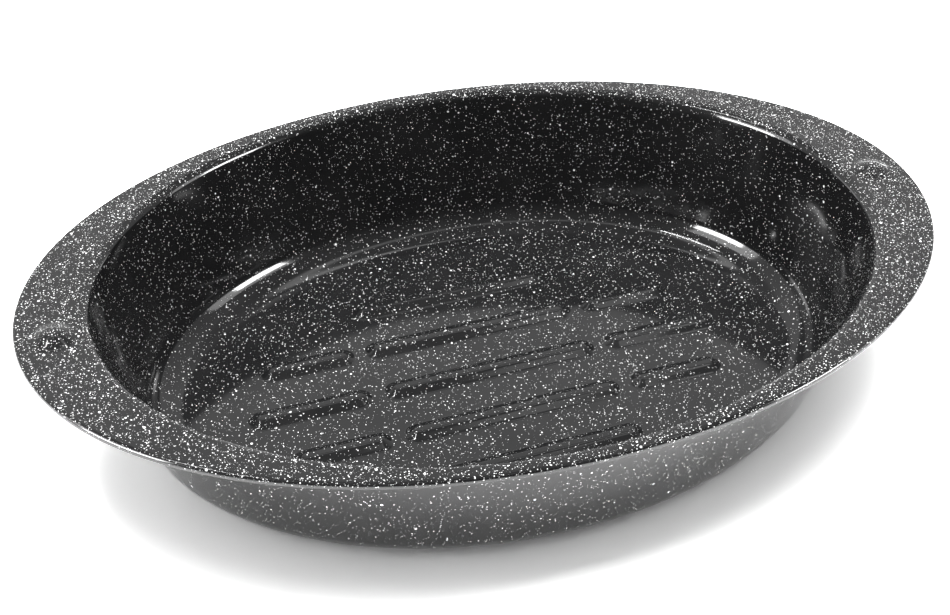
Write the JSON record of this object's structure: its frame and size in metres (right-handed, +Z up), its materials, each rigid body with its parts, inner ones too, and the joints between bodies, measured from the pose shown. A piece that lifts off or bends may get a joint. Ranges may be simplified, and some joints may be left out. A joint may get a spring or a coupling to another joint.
{
  "type": "oval roasting pan",
  "caption": "Open oval roasting pan in speckled enamelled steel, with a wide flat flange, sloped walls and low ribs pressed up in the floor.",
  "frame": {"origin": "on the surface the pan stands on, under the middle of its oval", "axes": "+X along the pan's length, +Y across its width, +Z up out of the mouth"},
  "size_m": [0.457, 0.309, 0.0822],
  "materials": {
    "steel": "bare rolled sheet, sealed in the enamel",
    "speckled_enamel": "gloss black vitreous enamel with small white flecks",
    "rim_enamel": "gloss black vitreous enamel with few flecks"
  },
  "bodies": {
    "root": {"steel_shell": "steel", "inside_enamel": "speckled_enamel", "outside_enamel": "speckled_enamel", "rim_enamel": "rim_enamel"}
  },
  "joints": []
}
